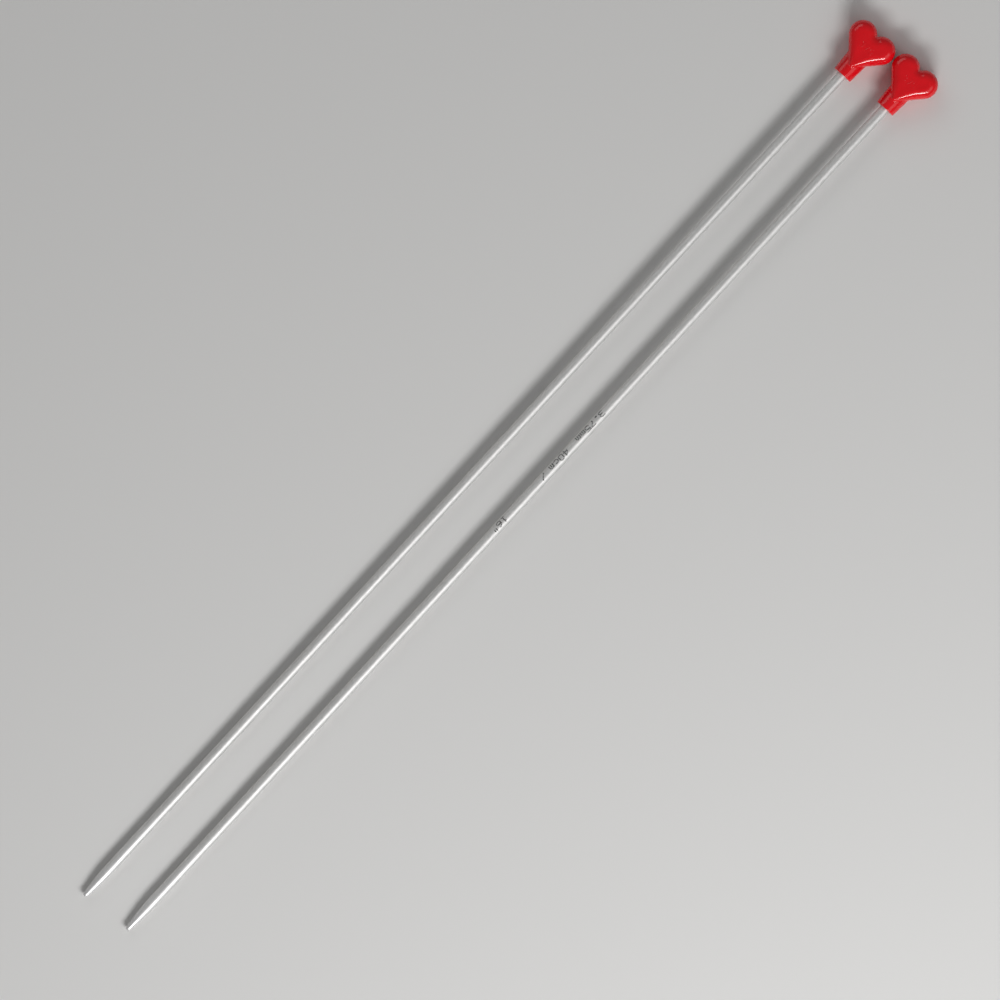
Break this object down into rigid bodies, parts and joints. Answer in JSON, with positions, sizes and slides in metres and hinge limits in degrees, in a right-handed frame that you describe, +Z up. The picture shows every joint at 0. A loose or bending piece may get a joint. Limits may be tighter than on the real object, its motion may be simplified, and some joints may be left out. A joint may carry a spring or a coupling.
{
  "type": "straight knitting needles",
  "caption": "Straight single-pointed knitting needles with aluminium shafts and red heart-shaped plastic stoppers.",
  "frame": {"origin": "middle of the pair's footprint on the surface it lies on", "axes": "+X along the needles from the points to the hearts, +Y towards the first needle, +Z up"},
  "size_m": [0.4224, 0.0384, 0.0096],
  "materials": {
    "shaft_aluminium": "satin pearl-grey coat",
    "stopper_plastic": "glossy red moulding"
  },
  "bodies": {
    "first_needle": {"first_needle_shaft": "shaft_aluminium", "first_heart_stopper": "stopper_plastic"},
    "second_needle": {"second_needle_shaft": "shaft_aluminium", "second_heart_stopper": "stopper_plastic"}
  },
  "joints": [
    {"name": "second_needle_lift", "type": "slide", "parent": "first_needle", "child": "second_needle", "axis": [0, 0, 1], "range_m": [0, 0.05]}
  ]
}
